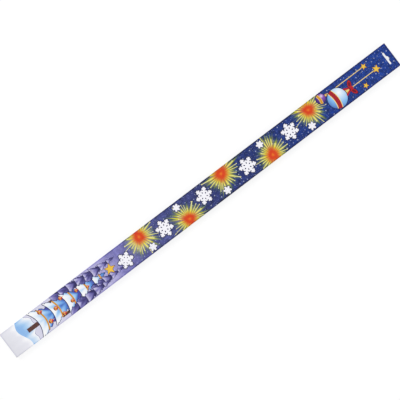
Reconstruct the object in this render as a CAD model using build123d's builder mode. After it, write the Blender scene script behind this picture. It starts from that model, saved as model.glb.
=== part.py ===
"""Flat hanging carton of three long sparklers.

The carton is one sheet of folding boxboard: a front panel that runs on into a doubled hang tab,
two side walls, a back panel and a glued seam. Its foot is shut by a tuck flap over two dust
flaps, and its mouth, behind the hang tab, is open so that the sparklers draw out.

Frame, in millimetres: the packet lies on its back. +X runs from the foot to the hang tab, +Y is
the left side of the printed front with the tab up, and +Z points out of the printed front. The
origin is the middle of the back's outer face.
"""

import os
from math import asin, degrees, radians, sin

from build123d import *

# Carton
PACK_LENGTH = 740.0  # foot to the tip of the hang tab
PACK_WIDTH = 43.0
PACK_DEPTH = 9.0
BOARD = 0.5  # thickness of the boxboard
LONG_FOLD_RADIUS = 0.8  # outside radius of the four long folded edges
SCORE_GAP = 0.04  # slit left where a score lets a flap hinge

# Hang tab, with a euro slot through both plies
TAB_LENGTH = 20.0
REAR_PLY_SETBACK = 0.8  # the rear ply stops this far outside the mouth
SLOT_LENGTH = 21.7
SLOT_HEIGHT = 3.2
SLOT_FROM_TIP = 11.7  # tip of the tab to the middle of the straight slot
CROWN_RADIUS = 3.7  # round bump of the slot, towards the tip
CROWN_EASE = 0.6  # fillet between the bump and the straight slot

# Glued long seam
SEAM_FLAP_HEIGHT = 7.4
SEAM_FLAP_BEVEL = 4.0  # slanted ends of the seam flap
SEAM_FLAP_SETBACK = 9.0  # kept clear of both ends of the tube
SEAM_STEP = 0.2  # cut edge of the left wall above the back's face

# Foot closure
TUCK_SIDE_CLEARANCE = 0.1
TUCK_FLOOR_CLEARANCE = 0.3  # tongue above the inside of the back panel
TONGUE_SWEEP = 55.0  # degrees of the bowed tongue about the tuck flap's score
TONGUE_SIDE_CLEARANCE = 0.9  # tongue to the inside of each side wall
TONGUE_CORNER = 4.0
DUST_FLAP_LENGTH = 12.0
DUST_FLAP_SETBACK = 0.1  # dust flaps behind the tuck flap
DUST_ROOT_CLEARANCE = 0.4  # dust flap's root edges to the tongue and to the wall's fold
DUST_TIP_BASE = 3.0  # lower edge of a dust flap's tip above the back's face
DUST_TIP_HEIGHT = 2.0
DUST_TIP_ROUND = 0.8

# Sparklers
SPARKLER_COUNT = 3
SPARKLER_LENGTH = 700.0
SPARKLER_FROM_FOOT = 10.0  # dipped tip to the foot of the carton
LYING_CLEARANCE = 0.3  # dipped coat to the inside of the back panel
WIRE_DIAMETER = 3.2
WIRE_CROP = 0.4  # rounded edge of the cropped handle end
COAT_DIAMETER = 6.8  # over the bead that gathers at the dipped tip
BEAD_SWELL = 0.5  # bead's diameter over the coat beside it
BEAD_LENGTH = 16.0
COAT_THINNING = 0.5  # loss of diameter from the bead to the shoulder
COAT_LENGTH = 510.0
COAT_SHOULDER = 9.0  # run-out of the coat on the bare wire
TIP_COVER = 2.4  # composition beyond the end of the wire

# Planes and heights that the pieces share
FOOT_X = -PACK_LENGTH / 2
TIP_X = PACK_LENGTH / 2
MOUTH_X = TIP_X - TAB_LENGTH
HALF_WIDTH = PACK_WIDTH / 2
FLAT_HALF = HALF_WIDTH - LONG_FOLD_RADIUS  # half width of a panel between its folds
INNER_FOLD_RADIUS = LONG_FOLD_RADIUS - BOARD
FRONT_INSIDE = PACK_DEPTH - BOARD
SEAM_FACE = HALF_WIDTH - BOARD  # inner face of the left wall, on which the seam flap is glued
SEAM_FOLD_Y = SEAM_FACE - LONG_FOLD_RADIUS  # where the back panel starts to fold up
DUST_X = FOOT_X + BOARD + DUST_FLAP_SETBACK
TUBE_LENGTH = MOUTH_X - DUST_X
TONGUE_OUTER = PACK_DEPTH - BOARD - TUCK_FLOOR_CLEARANCE
TONGUE_INNER = TONGUE_OUTER - BOARD
TONGUE_REACH = TONGUE_OUTER * sin(radians(TONGUE_SWEEP))
TUCK_WIDTH = PACK_WIDTH - 2 * TUCK_SIDE_CLEARANCE
TONGUE_WIDTH = PACK_WIDTH - 2 * (BOARD + TONGUE_SIDE_CLEARANCE)
SPARKLER_PITCH = (PACK_WIDTH - 2 * BOARD) / SPARKLER_COUNT  # even shares of the inside width
SPARKLER_TIP_X = FOOT_X + SPARKLER_FROM_FOOT
SPARKLER_AXIS_Z = BOARD + LYING_CLEARANCE + COAT_DIAMETER / 2

os.makedirs("parts", exist_ok=True)

# Printed front, scored to the tuck flap at the foot
with BuildPart() as front_panel:
    with BuildSketch(Plane.XZ):
        with BuildLine():
            Polyline(
                (FOOT_X, PACK_DEPTH),
                (MOUTH_X, PACK_DEPTH),
                (MOUTH_X, FRONT_INSIDE),
                (FOOT_X + BOARD, FRONT_INSIDE),
                close=True,
            )
        make_face()
    extrude(amount=FLAT_HALF, both=True)
front_panel.part.label = "front_panel"
export_step(front_panel.part, "parts/front_panel.step")

# Euro slot: a straight round-ended slot with a crown towards the tip
with BuildSketch() as hang_slot:
    with Locations((TIP_X - SLOT_FROM_TIP, 0)):
        SlotOverall(SLOT_LENGTH, SLOT_HEIGHT, rotation=90)
        Circle(CROWN_RADIUS)
    with Locations((TIP_X - SLOT_FROM_TIP - SLOT_HEIGHT / 2, 0)):
        Rectangle(CROWN_RADIUS, PACK_WIDTH, align=(Align.MAX, Align.CENTER), mode=Mode.SUBTRACT)
    crown_corners = hang_slot.vertices().sort_by_distance((TIP_X - SLOT_FROM_TIP, 0))[:2]
    fillet(crown_corners, CROWN_EASE)

# Front ply of the hang tab, rounded over into the fold at its tip
with BuildPart() as hang_tab_front_ply:
    with BuildSketch(Plane.XZ):
        with BuildLine():
            Polyline(
                (TIP_X, FRONT_INSIDE),
                (MOUTH_X, FRONT_INSIDE),
                (MOUTH_X, PACK_DEPTH),
                (TIP_X - BOARD, PACK_DEPTH),
            )
            CenterArc((TIP_X - BOARD, FRONT_INSIDE), BOARD, 0, 90)
        make_face()
    extrude(amount=HALF_WIDTH, both=True)
    extrude(hang_slot.sketch, amount=PACK_DEPTH, mode=Mode.SUBTRACT)
hang_tab_front_ply.part.label = "hang_tab_front_ply"
export_step(hang_tab_front_ply.part, "parts/hang_tab_front_ply.step")

# Rear ply of the hang tab, folded back from the tip and glued behind the front ply
with BuildPart() as hang_tab_rear_ply:
    with BuildSketch(Plane.XZ):
        with BuildLine():
            Polyline(
                (TIP_X, FRONT_INSIDE),
                (MOUTH_X + REAR_PLY_SETBACK, FRONT_INSIDE),
                (MOUTH_X + REAR_PLY_SETBACK, FRONT_INSIDE - BOARD),
                (TIP_X - BOARD, FRONT_INSIDE - BOARD),
            )
            CenterArc((TIP_X - BOARD, FRONT_INSIDE), BOARD, -90, 90)
        make_face()
    extrude(amount=HALF_WIDTH, both=True)
    extrude(hang_slot.sketch, amount=PACK_DEPTH, mode=Mode.SUBTRACT)
hang_tab_rear_ply.part.label = "hang_tab_rear_ply"
export_step(hang_tab_rear_ply.part, "parts/hang_tab_rear_ply.step")

# Right wall with both of its long folds, mitred at the foot for its dust flap
with BuildPart() as side_wall_right:
    with BuildSketch(Plane.YZ.offset(DUST_X)):
        with Locations((0, PACK_DEPTH / 2)):
            RectangleRounded(PACK_WIDTH, PACK_DEPTH, LONG_FOLD_RADIUS)
            RectangleRounded(
                PACK_WIDTH - 2 * BOARD,
                PACK_DEPTH - 2 * BOARD,
                INNER_FOLD_RADIUS,
                mode=Mode.SUBTRACT,
            )
        with Locations((-HALF_WIDTH, PACK_DEPTH / 2)):
            Rectangle(
                LONG_FOLD_RADIUS,
                PACK_DEPTH,
                align=(Align.MIN, Align.CENTER),
                mode=Mode.INTERSECT,
            )
    extrude(amount=TUBE_LENGTH)
    split(bisect_by=Plane((DUST_X + SCORE_GAP, -HALF_WIDTH, 0), z_dir=(1, -1, 0)), keep=Keep.TOP)
side_wall_right.part.label = "side_wall_right"
export_step(side_wall_right.part, "parts/side_wall_right.step")

# Left wall: folded from the front panel, with a cut edge at the back where it is glued
with BuildPart() as side_wall_left:
    with BuildSketch(Plane.YZ.offset(DUST_X)):
        with BuildLine():
            Polyline(
                (HALF_WIDTH, PACK_DEPTH - LONG_FOLD_RADIUS),
                (HALF_WIDTH, SEAM_STEP),
                (SEAM_FACE, SEAM_STEP),
                (SEAM_FACE, PACK_DEPTH - LONG_FOLD_RADIUS),
            )
            CenterArc((FLAT_HALF, PACK_DEPTH - LONG_FOLD_RADIUS), INNER_FOLD_RADIUS, 0, 90)
            Line((FLAT_HALF, FRONT_INSIDE), (FLAT_HALF, PACK_DEPTH))
            CenterArc((FLAT_HALF, PACK_DEPTH - LONG_FOLD_RADIUS), LONG_FOLD_RADIUS, 0, 90)
        make_face()
    extrude(amount=TUBE_LENGTH)
    split(bisect_by=Plane((DUST_X + SCORE_GAP, HALF_WIDTH, 0), z_dir=(1, 1, 0)), keep=Keep.TOP)
side_wall_left.part.label = "side_wall_left"
export_step(side_wall_left.part, "parts/side_wall_left.step")

# Back panel, between the right wall's fold and the seam flap's fold
with BuildPart() as back_panel:
    with BuildSketch(Plane.XY):
        with Locations((FOOT_X, -FLAT_HALF)):
            Rectangle(MOUTH_X - FOOT_X, FLAT_HALF + SEAM_FOLD_Y, align=Align.MIN)
    extrude(amount=BOARD)
back_panel.part.label = "back_panel"
export_step(back_panel.part, "parts/back_panel.step")

# Seam flap: folded up from the back panel and glued inside the left wall, with slanted ends
with BuildPart() as seam_flap:
    with BuildSketch(Plane.YZ.offset(DUST_X + SEAM_FLAP_SETBACK)):
        with BuildLine():
            Polyline(
                (SEAM_FACE, LONG_FOLD_RADIUS),
                (SEAM_FACE, BOARD + SEAM_FLAP_HEIGHT),
                (SEAM_FACE - BOARD, BOARD + SEAM_FLAP_HEIGHT),
                (SEAM_FACE - BOARD, LONG_FOLD_RADIUS),
            )
            CenterArc((SEAM_FOLD_Y, LONG_FOLD_RADIUS), INNER_FOLD_RADIUS, -90, 90)
            Line((SEAM_FOLD_Y, BOARD), (SEAM_FOLD_Y, 0))
            CenterArc((SEAM_FOLD_Y, LONG_FOLD_RADIUS), LONG_FOLD_RADIUS, -90, 90)
        make_face()
    extrude(amount=TUBE_LENGTH - 2 * SEAM_FLAP_SETBACK)
    slanted_ends = seam_flap.edges().filter_by(Axis.Y).group_by(Axis.Z)[-1]
    chamfer(slanted_ends, SEAM_FLAP_BEVEL)
seam_flap.part.label = "seam_flap"
export_step(seam_flap.part, "parts/seam_flap.step")

# Tuck flap: shuts the foot and hinges on its score at the front panel's edge
with BuildPart() as tuck_flap_panel:
    with BuildSketch(Plane.XZ):
        with BuildLine():
            Polyline(
                (FOOT_X, PACK_DEPTH - SCORE_GAP),
                (FOOT_X + BOARD, FRONT_INSIDE - SCORE_GAP),
                (FOOT_X + BOARD, PACK_DEPTH - TONGUE_OUTER),
                (FOOT_X, PACK_DEPTH - TONGUE_OUTER),
                close=True,
            )
        make_face()
    extrude(amount=TUCK_WIDTH / 2, both=True)
tuck_flap_panel.part.label = "tuck_flap_panel"
export_step(tuck_flap_panel.part, "parts/tuck_flap_panel.step")

# Tuck tongue: bowed about the tuck flap's score, so that it swings in and out of the foot
with BuildPart() as tuck_tongue:
    outer_start = degrees(asin(BOARD / TONGUE_OUTER))
    inner_start = degrees(asin(BOARD / TONGUE_INNER))
    with BuildSketch(Plane.XZ):
        with BuildLine():
            score = (FOOT_X, PACK_DEPTH)
            outer = CenterArc(score, TONGUE_OUTER, outer_start - 90, TONGUE_SWEEP - outer_start)
            inner = CenterArc(score, TONGUE_INNER, inner_start - 90, TONGUE_SWEEP - inner_start)
            Line(outer @ 0, inner @ 0)
            Line(outer @ 1, inner @ 1)
        make_face()
    extrude(amount=TONGUE_WIDTH / 2, both=True)
    with BuildSketch(Plane.XY) as plan:
        with Locations((FOOT_X, 0)):
            Rectangle(TONGUE_REACH, TONGUE_WIDTH, align=(Align.MIN, Align.CENTER))
        fillet(plan.vertices().group_by(Axis.X)[-1], TONGUE_CORNER)
    extrude(amount=PACK_DEPTH, mode=Mode.INTERSECT)
tuck_tongue.part.label = "tuck_tongue"
export_step(tuck_tongue.part, "parts/tuck_tongue.step")

# Dust flaps: scored to the side walls' foot ends and tapered to clear the tuck flap's swing
for name, side in (("left", 1), ("right", -1)):
    with BuildPart() as dust_flap:
        tip_y = side * (HALF_WIDTH - DUST_FLAP_LENGTH)
        with BuildSketch(Plane.YZ.offset(DUST_X)) as outline:
            with BuildLine():
                Polyline(
                    (side * HALF_WIDTH, PACK_DEPTH - TONGUE_INNER + DUST_ROOT_CLEARANCE),
                    (side * HALF_WIDTH, FRONT_INSIDE - DUST_ROOT_CLEARANCE),
                    (tip_y, DUST_TIP_BASE + DUST_TIP_HEIGHT),
                    (tip_y, DUST_TIP_BASE),
                    close=True,
                )
            make_face()
            tip_corners = outline.vertices().sort_by_distance((tip_y, DUST_TIP_BASE))[:2]
            fillet(tip_corners, DUST_TIP_ROUND)
        extrude(amount=BOARD)
        split(bisect_by=Plane((DUST_X, side * HALF_WIDTH, 0), z_dir=(-1, -side, 0)), keep=Keep.TOP)
    dust_flap.part.label = f"dust_flap_{name}"
    export_step(dust_flap.part, f"parts/dust_flap_{name}.step")

# Sparklers: a steel wire, bare at the handle and dipped in composition over the rest
for index in range(SPARKLER_COUNT):
    number = index + 1
    axis_y = (index - (SPARKLER_COUNT - 1) / 2) * SPARKLER_PITCH
    wire_radius = WIRE_DIAMETER / 2
    bead_radius = COAT_DIAMETER / 2
    coat_radius = bead_radius - BEAD_SWELL / 2
    shoulder_radius = coat_radius - COAT_THINNING / 2
    wire_start_x = SPARKLER_TIP_X + TIP_COVER
    bead_middle_x = SPARKLER_TIP_X + bead_radius
    bead_end_x = SPARKLER_TIP_X + BEAD_LENGTH
    coat_end_x = SPARKLER_TIP_X + COAT_LENGTH

    with BuildPart() as wire:
        with BuildSketch(Plane.YZ.offset(wire_start_x)):
            with Locations((axis_y, SPARKLER_AXIS_Z)):
                Circle(wire_radius)
        extrude(amount=SPARKLER_LENGTH - TIP_COVER)
        fillet(wire.edges().group_by(Axis.X)[-1], WIRE_CROP)
    wire.part.label = f"sparkler_wire_{number}"
    export_step(wire.part, f"parts/sparkler_wire_{number}.step")

    with BuildPart() as coat:
        with BuildSketch(Plane((0, axis_y, SPARKLER_AXIS_Z), x_dir=(1, 0, 0), z_dir=(0, -1, 0))):
            with BuildLine():
                CenterArc((bead_middle_x, 0), bead_radius, 90, 90)
                Bezier(
                    (bead_middle_x, bead_radius),
                    ((bead_middle_x + bead_end_x) / 2, bead_radius),
                    ((bead_middle_x + bead_end_x) / 2, coat_radius),
                    (bead_end_x, coat_radius),
                )
                Line((bead_end_x, coat_radius), (coat_end_x - COAT_SHOULDER, shoulder_radius))
                Bezier(
                    (coat_end_x - COAT_SHOULDER, shoulder_radius),
                    (coat_end_x - COAT_SHOULDER / 2, shoulder_radius),
                    (coat_end_x, wire_radius),
                )
                Polyline((coat_end_x, wire_radius), (wire_start_x, wire_radius), (wire_start_x, 0))
                Line((wire_start_x, 0), (SPARKLER_TIP_X, 0))
            make_face()
        revolve(axis=Axis((0, axis_y, SPARKLER_AXIS_Z), (1, 0, 0)))
    coat.part.label = f"sparkler_composition_{number}"
    export_step(coat.part, f"parts/sparkler_composition_{number}.step")
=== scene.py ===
"""Looks of the flat sparkler packet: printed boxboard carton, dipped sparklers and a white table.

Sizes are in millimetres in the CAD frame: +X runs from the foot to the hang tab, +Y is the left of
the printed front with the tab up, and +Z points out of the printed front. The print is drawn on
the flat blank, where a place is (mm from the foot, mm across from the middle of the front).
"""

import json
import logging
from dataclasses import dataclass
from enum import Enum
from math import cos, pi, radians, sin, tau

import bmesh
import bpy
from bpy.types import Material, NodeSocket, NodeTree, Object
from mathutils import Matrix, Vector, noise


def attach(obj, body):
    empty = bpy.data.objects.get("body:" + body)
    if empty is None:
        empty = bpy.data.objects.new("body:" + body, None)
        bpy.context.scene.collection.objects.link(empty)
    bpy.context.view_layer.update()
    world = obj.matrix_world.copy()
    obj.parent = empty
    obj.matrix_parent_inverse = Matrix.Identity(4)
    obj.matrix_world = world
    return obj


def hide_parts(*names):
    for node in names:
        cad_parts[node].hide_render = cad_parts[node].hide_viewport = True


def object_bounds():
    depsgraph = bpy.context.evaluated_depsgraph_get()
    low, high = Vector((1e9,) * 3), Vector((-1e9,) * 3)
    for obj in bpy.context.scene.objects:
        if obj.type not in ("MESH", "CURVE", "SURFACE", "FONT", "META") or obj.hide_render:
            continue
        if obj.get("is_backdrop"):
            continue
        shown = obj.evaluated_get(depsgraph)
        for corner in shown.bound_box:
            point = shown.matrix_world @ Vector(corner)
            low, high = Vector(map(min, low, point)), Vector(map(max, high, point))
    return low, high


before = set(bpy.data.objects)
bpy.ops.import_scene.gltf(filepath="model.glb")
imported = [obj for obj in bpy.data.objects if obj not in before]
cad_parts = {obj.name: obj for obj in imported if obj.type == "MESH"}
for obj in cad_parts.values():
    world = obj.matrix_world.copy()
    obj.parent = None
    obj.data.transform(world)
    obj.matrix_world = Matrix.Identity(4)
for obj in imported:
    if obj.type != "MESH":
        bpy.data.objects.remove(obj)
CAD_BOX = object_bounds()

LOG = logging.getLogger("sparkler_packet")
MM = 0.001  # metres in a millimetre
PACK_LENGTH = 740.0
PACK_WIDTH = 43.0
PACK_DEPTH = 9.0
FOOT_MM = PACK_LENGTH / 2  # from the foot to the middle of the packet
MID_MM = PACK_DEPTH / 2
BACK_MM = -PACK_WIDTH - PACK_DEPTH  # middle of the back on the blank, across from the front's
PLY_MM = 8.5  # height of the glue between the hang tab's plies
TUCK_MM = 8.0  # from the foot's fold to the tongue's, on the blank
DUST_MM = 6.0  # the dust flaps take their ink this far past the foot's fold
INSIDE_MM = -300.0  # a place in the packet, some way in from the foot
NOISE_SPAN = (0.3, 0.7)  # where most values of a noise texture lie

Input = NodeSocket | float | str | tuple[float, ...]  # a link, a value or a hex colour
Stops = tuple[tuple[float, str], ...]  # places and hex colours of a colour ramp
Pair = tuple[float, float]  # two limits or two sizes
Triple = tuple[float, float, float]
Waves = tuple[Triple, ...]  # pace, start and depth of sine waves


def linear(code: str) -> tuple[float, ...]:
    """Turns six sRGB hex digits into linear red, green and blue, with an alpha of 1."""
    shares = [int(code[i : i + 2], 16) / 255 for i in (0, 2, 4)]
    return (*(s / 12.92 if s <= 0.04045 else ((s + 0.055) / 1.055) ** 2.4 for s in shares), 1.0)


class ShaderNet:
    """Node tree of a shader, with short ways to add its nodes."""

    def __init__(self, tree: NodeTree) -> None:
        """Takes up the tree that gets the nodes."""
        self.tree = tree

    def add(
        self,
        kind: str,
        *inputs: Input,
        stops: Stops = (),
        named: dict[str, Input] | None = None,
        **settings: object,
    ) -> NodeSocket | None:
        """Adds a node with its settings and links.

        Args:
            kind: node type without its ShaderNode prefix.
            inputs: what goes into the inputs that the node shows, in their order.
            stops: places and hex colours of a colour ramp.
            named: further inputs by name.
            settings: the node's own properties.

        Returns:
            The first output that the node shows, or None from a node that ends the tree.
        """
        node = self.tree.nodes.new("ShaderNode" + kind)
        for name, value in settings.items():
            setattr(node, name, value)
        if stops:
            ramp = node.color_ramp.elements
            ramp[0].position, ramp[1].position = stops[0][0], stops[-1][0]
            for position, _ in stops[1:-1]:
                ramp.new(position)
            for element, (_, code) in zip(ramp, stops):
                element.color = linear(code)
        shown = [socket for socket in node.inputs if socket.enabled]
        by_name = [(node.inputs[name], value) for name, value in (named or {}).items()]
        for socket, value in [*zip(shown, inputs), *by_name]:
            if isinstance(value, NodeSocket):
                self.tree.links.new(value, socket)
            else:
                socket.default_value = linear(value) if isinstance(value, str) else value
        results = [socket for socket in node.outputs if socket.enabled]
        return results[0] if results else None

    def calc(self, operation: str, *inputs: Input) -> NodeSocket:
        """Adds a Math node and gives its result."""
        return self.add("Math", *inputs, operation=operation)

    def vector(self, operation: str, *inputs: Input) -> NodeSocket:
        """Adds a Vector Math node and gives its result."""
        return self.add("VectorMath", *inputs, operation=operation)

    def mix(self, share: Input, under: Input, over: Input) -> NodeSocket:
        """Mixes two colours by the share of the one that lies over the other."""
        return self.add("Mix", share, under, over, data_type="RGBA")

    def place_mm(self) -> NodeSocket:
        """Gives each point's place in the CAD frame, in mm."""
        return self.vector("SCALE", self.add("TexCoord").node.outputs["Object"], 1 / MM)

    def seen_directly(self) -> NodeSocket:
        """Marks rays from the camera, from mirrors and through glass.

        Returns:
            A socket that is 1 for such rays and 0 for others.
        """
        rays = self.add("LightPath").node.outputs
        mirrored = self.calc("MAXIMUM", rays["Is Glossy Ray"], rays["Is Transmission Ray"])
        return self.calc("MAXIMUM", rays["Is Camera Ray"], mirrored)


def open_material(name: str) -> tuple[Material, ShaderNet]:
    """Makes an empty node material.

    Args:
        name: the material's name.

    Returns:
        The material and its net.
    """
    made = bpy.data.materials.new(name)
    made.use_nodes = True
    made.node_tree.nodes.clear()
    return made, ShaderNet(made.node_tree)


def link_mesh(name: str, shape: bmesh.types.BMesh) -> Object:
    """Makes a finished bmesh an object of the scene, at the origin.

    Args:
        name: name of the object and of its mesh.
        shape: the bmesh, which is freed.

    Returns:
        The object.
    """
    mesh = bpy.data.meshes.new(name)
    shape.to_mesh(mesh)
    shape.free()
    made = bpy.data.objects.new(name, mesh)
    bpy.context.scene.collection.objects.link(made)
    return made


def dress_node(node: str, material: Material) -> None:
    """Puts a material on a CAD node.

    Args:
        node: the node's name.
        material: its material.
    """
    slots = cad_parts[node].material_slots
    if not slots:
        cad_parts[node].data.materials.append(material)
    for slot in slots:
        slot.material = material
    LOG.info("dressed %s with %s", node, material.name)


class Canvas(ShaderNet):
    """Node group of one motif: where it is drawn on the blank, and its ink."""

    def __init__(self, name: str) -> None:
        """Opens the group and works out each point's place beside the motif's middle.

        Args:
            name: name of the node group.
        """
        super().__init__(bpy.data.node_groups.new(name, "ShaderNodeTree"))
        sockets = (
            ("Place", "INPUT", "Vector"),
            ("Centre", "INPUT", "Vector"),
            ("Reach", "INPUT", "Float"),
            ("Turn", "INPUT", "Float"),
            ("Ink", "OUTPUT", "Color"),
            ("Cover", "OUTPUT", "Float"),
        )
        for label, way, kind in sockets:
            self.tree.interface.new_socket(label, in_out=way, socket_type="NodeSocket" + kind)
        given = self.tree.nodes.new("NodeGroupInput").outputs
        self.reach = given["Reach"]
        self.offset = self.vector("SUBTRACT", given["Place"], given["Centre"])
        self.run = self.vector("LENGTH", self.offset)
        axes = self.add("SeparateXYZ", self.offset).node.outputs
        self.up, self.side = axes["X"], axes["Y"]
        heading = self.calc("ARCTAN2", self.side, self.up)
        self.bearing = self.calc("ADD", heading, given["Turn"])

    def scaled(self) -> tuple[NodeSocket, NodeSocket, NodeSocket]:
        """Gives the place beside the middle as a share of the reach.

        Returns:
            The vector, its part along the packet, and its part across as a plain distance.
        """
        share = self.calc("DIVIDE", 1.0, self.reach)
        place = self.vector("SCALE", self.offset, share)
        axes = self.add("SeparateXYZ", place).node.outputs
        return place, axes["X"], self.calc("ABSOLUTE", axes["Y"])

    def folded(self, wedge: float) -> tuple[NodeSocket, NodeSocket]:
        """Folds the motif so that one drawn half of an arm repeats all round.

        Args:
            wedge: angle of the half arm in radians.

        Returns:
            The distances along the arm and off it, in mm.
        """
        fold = self.calc("PINGPONG", self.bearing, wedge)
        along, off = (self.calc(way, fold) for way in ("COSINE", "SINE"))
        return self.calc("MULTIPLY", self.run, along), self.calc("MULTIPLY", self.run, off)

    def ripple(self, along: NodeSocket, waves: Waves) -> NodeSocket:
        """Adds up sine waves into an uneven line.

        Args:
            along: what the waves run along.
            waves: the waves.

        Returns:
            The sum, about 0.
        """
        total: Input = 0.0
        for pace, start, depth in waves:
            phase = self.calc("MULTIPLY_ADD", along, pace, start)
            wave = self.calc("SINE", phase)
            total = self.calc("MULTIPLY_ADD", wave, depth, total)
        return total

    def close(self, ink: NodeSocket, cover: NodeSocket) -> NodeTree:
        """Links the group's outputs.

        Args:
            ink: colour of the motif.
            cover: share of the print below that the motif hides.

        Returns:
            The finished node group.
        """
        wanted = self.tree.nodes.new("NodeGroupOutput").inputs
        self.tree.links.new(ink, wanted["Ink"])
        self.tree.links.new(cover, wanted["Cover"])
        return self.tree


@dataclass(frozen=True)
class SparkBurst:
    """Shower of sparks: a glow that parts into uneven rays, and thin sparks that end in dots."""

    rays: int = 28
    ray_mm: float = 0.4  # half width of a spark
    dot_mm: float = 0.8
    length: Pair = (0.5, 1.2)  # shortest and longest spark, in reaches
    sparks_show: Pair = (0.4, 0.6)  # where the sparks come out of the glow, in reaches
    fade: Pair = (0.46, 1.2)  # where the glow starts to thin out and where it ends
    parting: Pair = (0.22, 0.6)  # where the rays start to part and where they are apart
    beside: Pair = (0.16, 0.46)  # from a ray's middle to the gap, in sectors
    gap_glow: float = 0.12  # share of the glow that is left between the rays
    lobes: Waves = ((2, 0.0, 0.08), (3, 1.0, 0.08), (5, 2.2, 0.06))
    streaks: Waves = ((13, 0.3, 0.05), (19, 1.9, 0.06), (31, 4.0, 0.07), (47, 2.6, 0.07))
    swerves: Waves = ((3, 0.4, 0.35), (7, 1.7, 0.2))  # uneven spacing of the rays
    glow: Stops = (
        (0.0, "EE7E24"),
        (0.1, "DE4A1A"),
        (0.2, "D8401A"),
        (0.29, "E0701C"),
        (0.38, "EAA81E"),
        (0.48, "EEDC26"),
        (0.62, "DAD82A"),
        (0.78, "8A9E2C"),
        (0.92, "3C5E34"),
        (1.0, "1E3E3A"),
    )
    spark: str = "EFE9A0"

    def draw(self) -> NodeTree:
        """Draws the burst as a node group."""
        canvas = Canvas("spark_burst")
        add, calc, vector, mix = canvas.add, canvas.calc, canvas.vector, canvas.mix
        run, reach = canvas.run, canvas.reach
        share = calc("DIVIDE", run, reach)

        # Glow from red over yellow to dark green, uneven round the middle and streaked
        own = calc("ADD", canvas.bearing, reach)
        uneven = canvas.ripple(own, self.lobes + self.streaks)
        spread = calc("MULTIPLY_ADD", share, uneven, share)
        glow = add("ValToRGB", spread, stops=self.glow)
        haze = add("MapRange", spread, *self.fade, 1.0, 0.0, interpolation_type="SMOOTHSTEP")

        # Thin sparks of uneven length, each with a dot at its end
        swerve = canvas.ripple(canvas.bearing, self.swerves)
        sector = calc("MULTIPLY_ADD", canvas.bearing, self.rays / tau, swerve)
        whole = calc("FLOOR", sector)
        ray = calc("FLOORED_MODULO", whole, float(self.rays))
        seed = calc("ADD", ray, reach)
        chance = add("TexWhiteNoise", seed, noise_dimensions="1D")
        middle = calc("SUBTRACT", calc("FRACT", sector), 0.5)
        swing = calc("ABSOLUTE", middle)
        arc = calc("MULTIPLY", run, tau / self.rays)
        aside = calc("MULTIPLY", swing, arc)
        short, long = self.length
        length = calc("MULTIPLY_ADD", chance, long - short, short)
        past = calc("SUBTRACT", run, calc("MULTIPLY", reach, length))
        slim = calc("LESS_THAN", aside, self.ray_mm)
        line = calc("MULTIPLY", slim, calc("LESS_THAN", past, 0.0))
        from_end = vector("LENGTH", add("CombineXYZ", past, aside))
        dot = calc("LESS_THAN", from_end, self.dot_mm)
        drawn = calc("MAXIMUM", line, dot)
        sparks = calc("MULTIPLY", drawn, add("MapRange", share, *self.sparks_show))
        ink = mix(sparks, glow, self.spark)

        # The sky shows between the rays, more so further out
        rest = add("MapRange", swing, *self.beside, 1.0, 0.0)
        kept = add("MapRange", share, *self.parting, 1.0, self.gap_glow)
        left = calc("MAXIMUM", rest, kept)
        lit = calc("MULTIPLY", haze, left)
        return canvas.close(ink, calc("MAXIMUM", lit, sparks))


@dataclass(frozen=True)
class SnowCrystal:
    """Six-armed snow crystal with a dark rim."""

    arms: int = 6
    arm_mm: float = 1.65  # half width of an arm
    twig_mm: float = 1.15
    twigs: tuple[Pair, ...] = ((0.38, 0.36), (0.68, 0.27))  # place and length, in reaches
    twig_lean: float = pi / 3  # angle between a twig and its arm
    heart: float = 0.22  # half width of the hexagon in the middle, as a share of the reach
    rim_mm: float = 1.0
    ink: str = "FAF9FF"
    rim: str = "171C4C"

    def draw(self) -> NodeTree:
        """Draws the crystal as a node group."""
        canvas = Canvas("snow_crystal")
        add, calc, vector, mix = canvas.add, canvas.calc, canvas.vector, canvas.mix
        reach = canvas.reach
        along, off = canvas.folded(pi / self.arms)
        beyond = calc("SUBTRACT", along, reach)
        wide = calc("SUBTRACT", off, self.arm_mm)
        shape = calc("MAXIMUM", wide, beyond)
        hexagon = calc("MULTIPLY_ADD", reach, -self.heart, along)
        shape = calc("MINIMUM", shape, hexagon)
        lean = (cos(self.twig_lean), sin(self.twig_lean), 0.0)
        across = (sin(self.twig_lean), -cos(self.twig_lean), 0.0)
        for root, length in self.twigs:
            start = calc("MULTIPLY_ADD", reach, -root, along)
            place = add("CombineXYZ", start, off)
            out = vector("DOT_PRODUCT", place, lean)
            past = calc("MULTIPLY_ADD", reach, -length, out)
            beside = vector("DOT_PRODUCT", place, across)
            near = calc("ABSOLUTE", beside)
            slim = calc("SUBTRACT", near, self.twig_mm)
            twig = calc("MAXIMUM", slim, past)
            shape = calc("MINIMUM", shape, twig)
        inked = calc("LESS_THAN", shape, 0.0)
        ink = mix(inked, self.rim, self.ink)
        return canvas.close(ink, calc("LESS_THAN", shape, self.rim_mm))


@dataclass(frozen=True)
class GoldStar:
    """Five-pointed star with a brown rim."""

    points: int = 5
    waist: float = 0.45  # inner corners, as a share of the reach
    rim_mm: float = 0.6
    ink: str = "F3C54A"
    rim: str = "6B3E1C"

    def draw(self) -> NodeTree:
        """Draws the star as a node group."""
        canvas = Canvas("gold_star")
        add, calc, vector, mix = canvas.add, canvas.calc, canvas.vector, canvas.mix
        wedge = pi / self.points
        along, off = canvas.folded(wedge)
        past = calc("SUBTRACT", along, canvas.reach)
        edge = Vector((self.waist * sin(wedge), 1 - self.waist * cos(wedge), 0.0)).normalized()
        place = add("CombineXYZ", past, off)
        shape = vector("DOT_PRODUCT", place, tuple(edge))
        inked = calc("LESS_THAN", shape, 0.0)
        ink = mix(inked, self.rim, self.ink)
        return canvas.close(ink, calc("LESS_THAN", shape, self.rim_mm))


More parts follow.
